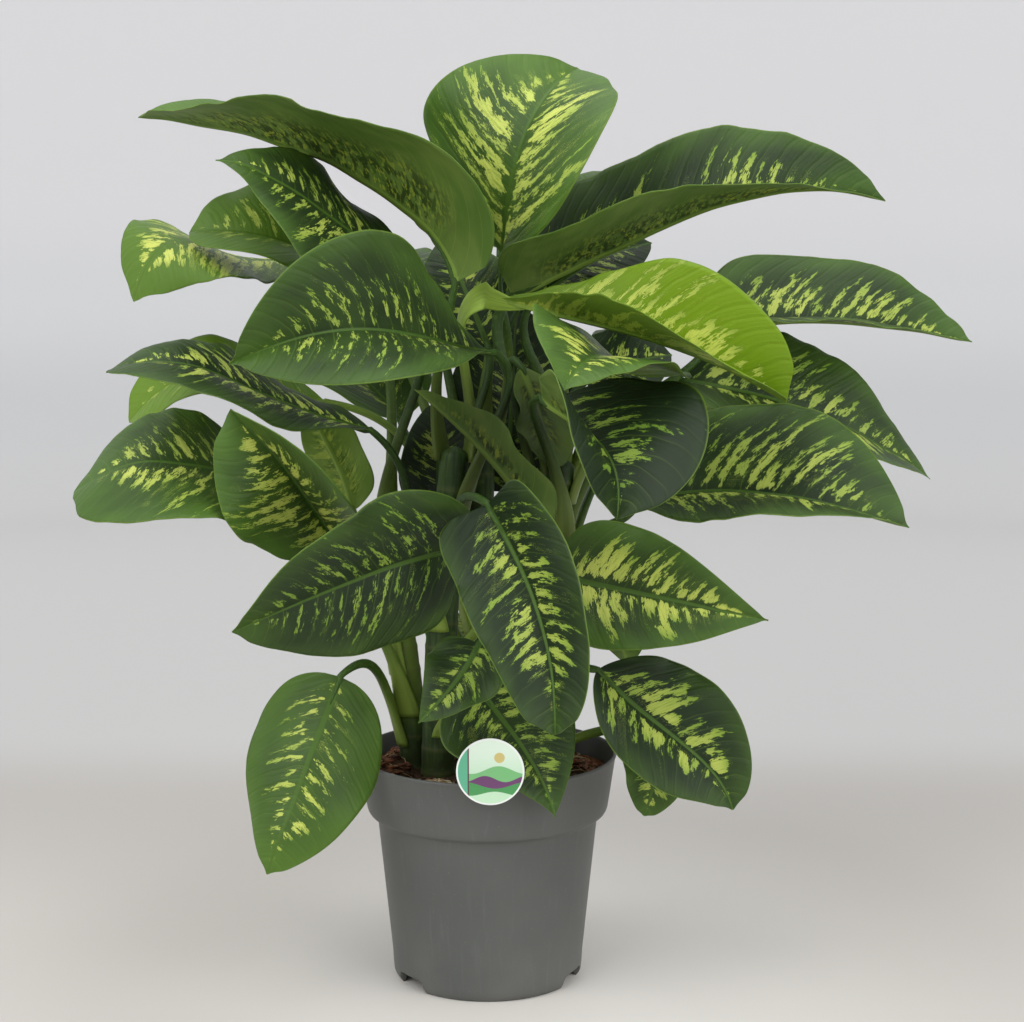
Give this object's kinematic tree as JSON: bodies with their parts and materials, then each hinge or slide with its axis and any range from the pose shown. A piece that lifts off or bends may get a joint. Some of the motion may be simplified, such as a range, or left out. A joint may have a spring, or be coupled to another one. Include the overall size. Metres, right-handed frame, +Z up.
{
  "type": "potted dieffenbachia",
  "caption": "Bushy potted dieffenbachia: large green leaves streaked with cream on upright canes, in a grey round nursery pot filled with peat, with a small round plant label.",
  "frame": {"origin": "on the pot's axis at the floor, in the middle of the flat disc under the pot", "axes": "+Z up along the pot's axis, -Y towards the viewer of the picture, +X to the viewer's right"},
  "size_m": [0.7126, 0.5271, 0.7445],
  "materials": {
    "pot_plastic": "satin grey moulded plastic",
    "soil": "dark brown peat with bark and pale grains",
    "tag_card": "smooth printed plastic, pale green",
    "cane": "waxy green stem with ring scars",
    "leaf": "semi-gloss dark green with cream streaks",
    "young_leaf": "semi-gloss yellow-green with cream streaks"
  },
  "bodies": {
    "root": {"pot": "pot_plastic", "soil": "soil", "tag": "tag_card", "cane_left": "cane", "cane_front": "cane", "cane_right": "cane", "cane_back": "cane", "cane_back_right": "cane", "leaf_drooping_left": "leaf", "leaf_left_mid": "leaf", "leaf_far_left": "leaf", "leaf_left_under": "leaf", "leaf_left_wide": "leaf", "leaf_inner_pale": "leaf", "leaf_left_recurved": "leaf", "leaf_left_behind": "leaf", "leaf_left_upper": "leaf", "leaf_crown_left": "leaf", "leaf_young": "young_leaf", "leaf_big_left": "leaf", "leaf_front": "leaf", "leaf_front_left": "leaf", "leaf_inner_folded": "leaf", "leaf_low_front": "leaf", "leaf_over_rim": "leaf", "leaf_crown_right": "leaf", "leaf_facing": "leaf", "leaf_shaded": "leaf", "leaf_right_fan": "leaf", "leaf_front_right": "leaf", "leaf_low_right": "leaf", "leaf_low_small": "leaf", "leaf_inner_right": "leaf", "leaf_crown_top": "leaf", "leaf_under_crown_left": "leaf", "leaf_back_top": "leaf", "leaf_back_left_top": "leaf", "leaf_back_middle": "leaf", "leaf_inner_left": "leaf", "leaf_back_left": "leaf", "leaf_back_left_low": "leaf", "leaf_back_low": "leaf", "leaf_under_crown_right": "leaf", "leaf_back_right_top": "leaf", "leaf_right_high": "leaf", "leaf_inner_dark": "leaf", "leaf_back_right": "leaf", "leaf_right_outer": "leaf", "leaf_back_right_low": "leaf", "leaf_back_low_right": "leaf"}
  },
  "joints": []
}
